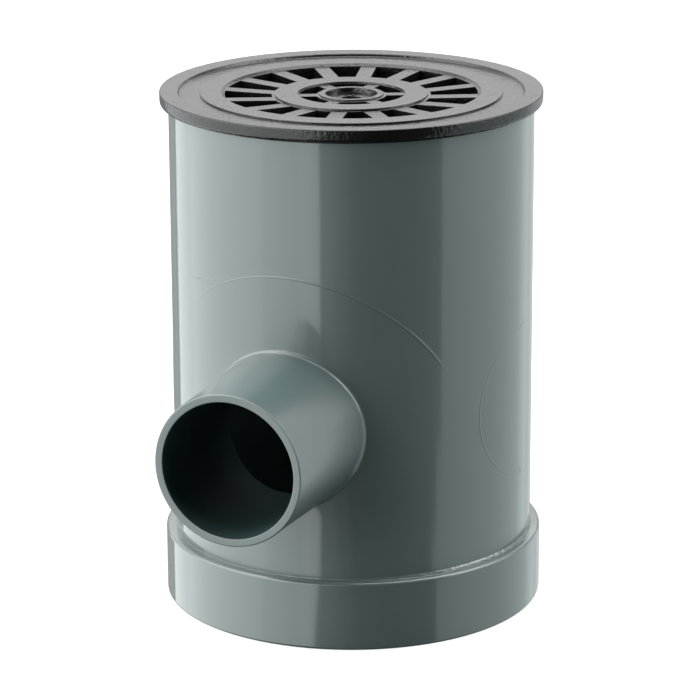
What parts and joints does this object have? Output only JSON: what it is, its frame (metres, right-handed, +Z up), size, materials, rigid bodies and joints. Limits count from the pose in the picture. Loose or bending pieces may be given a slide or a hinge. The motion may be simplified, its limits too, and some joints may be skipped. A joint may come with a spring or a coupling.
{
  "type": "gully trap",
  "caption": "Round grey PVC gully trap with a glued base cap, side inlet and outlet sockets, an inner dip duct and a black slotted grate.",
  "frame": {"origin": "centre of the underside of the base cap, on the axis of the body tube", "axes": "+Z up along the body tube, +Y out along the outlet socket, so the inlet socket points along -Y"},
  "size_m": [0.116, 0.1795, 0.158],
  "materials": {
    "pvc": "glossy grey PVC",
    "pvc_cap": "glossy grey PVC",
    "grate_plastic": "satin black with a fine moulded grain"
  },
  "bodies": {
    "root": {"body": "pvc", "base_cap": "pvc_cap", "grate": "grate_plastic"}
  },
  "joints": []
}
